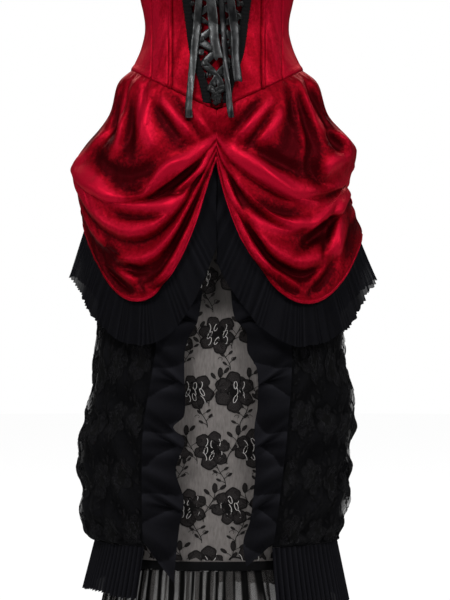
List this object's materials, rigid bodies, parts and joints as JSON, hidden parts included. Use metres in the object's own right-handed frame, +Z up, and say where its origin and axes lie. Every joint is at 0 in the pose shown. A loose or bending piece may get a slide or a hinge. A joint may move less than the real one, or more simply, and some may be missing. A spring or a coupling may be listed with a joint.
{
  "type": "bustle dress",
  "caption": "Strapless corset-laced bustle dress with draped velvet overskirt, sheer lace skirts and pleated mesh ruffles, hollow as when worn.",
  "frame": {"origin": "centre of the waist, where the wearer holds the dress up", "axes": "+Z up along the dress, the laced front faces -Y, +X to the right as seen from the front"},
  "size_m": [0.5286, 0.405, 1.2148],
  "materials": {
    "velvet_red": "crushed crimson velvet with a soft sheen",
    "satin_black": "black satin ribbon",
    "mesh_black": "sheer black pleated mesh",
    "lace_black": "sheer black floral lace"
  },
  "bodies": {
    "root": {"bodice_front_left": "velvet_red", "bodice_front_right": "velvet_red", "bodice_side_front_left": "velvet_red", "bodice_side_front_right": "velvet_red", "bodice_side_left": "velvet_red", "bodice_side_right": "velvet_red", "bodice_back_left": "velvet_red", "bodice_back_right": "velvet_red", "modesty_panel": "velvet_red", "velvet_front_left": "velvet_red", "velvet_front_right": "velvet_red", "velvet_back_left": "velvet_red", "velvet_back_right": "velvet_red", "placket_left": "satin_black", "placket_right": "satin_black", "hem_band": "satin_black", "lacing_1_left": "satin_black", "lacing_1_right": "satin_black", "lacing_2_left": "satin_black", "lacing_2_right": "satin_black", "lacing_3_left": "satin_black", "lacing_3_right": "satin_black", "lacing_4_left": "satin_black", "lacing_4_right": "satin_black", "lacing_5_left": "satin_black", "lacing_5_right": "satin_black", "lacing_6_left": "satin_black", "lacing_6_right": "satin_black", "lacing_bar": "satin_black", "bow_knot": "satin_black", "bow_loop_left": "satin_black", "bow_loop_right": "satin_black", "bow_tail_left": "satin_black", "bow_tail_right": "satin_black", "hem_ruffle_front_left": "mesh_black", "hem_ruffle_front_right": "mesh_black", "hem_ruffle_back_left": "mesh_black", "hem_ruffle_back_right": "mesh_black", "inner_flounce": "mesh_black", "outer_flounce_left": "mesh_black", "outer_flounce_right": "mesh_black", "cascade_left": "mesh_black", "cascade_right": "mesh_black", "inner_skirt_front": "lace_black", "inner_skirt_back": "lace_black", "lace_overlay_left": "lace_black", "lace_overlay_right": "lace_black"}
  },
  "joints": []
}
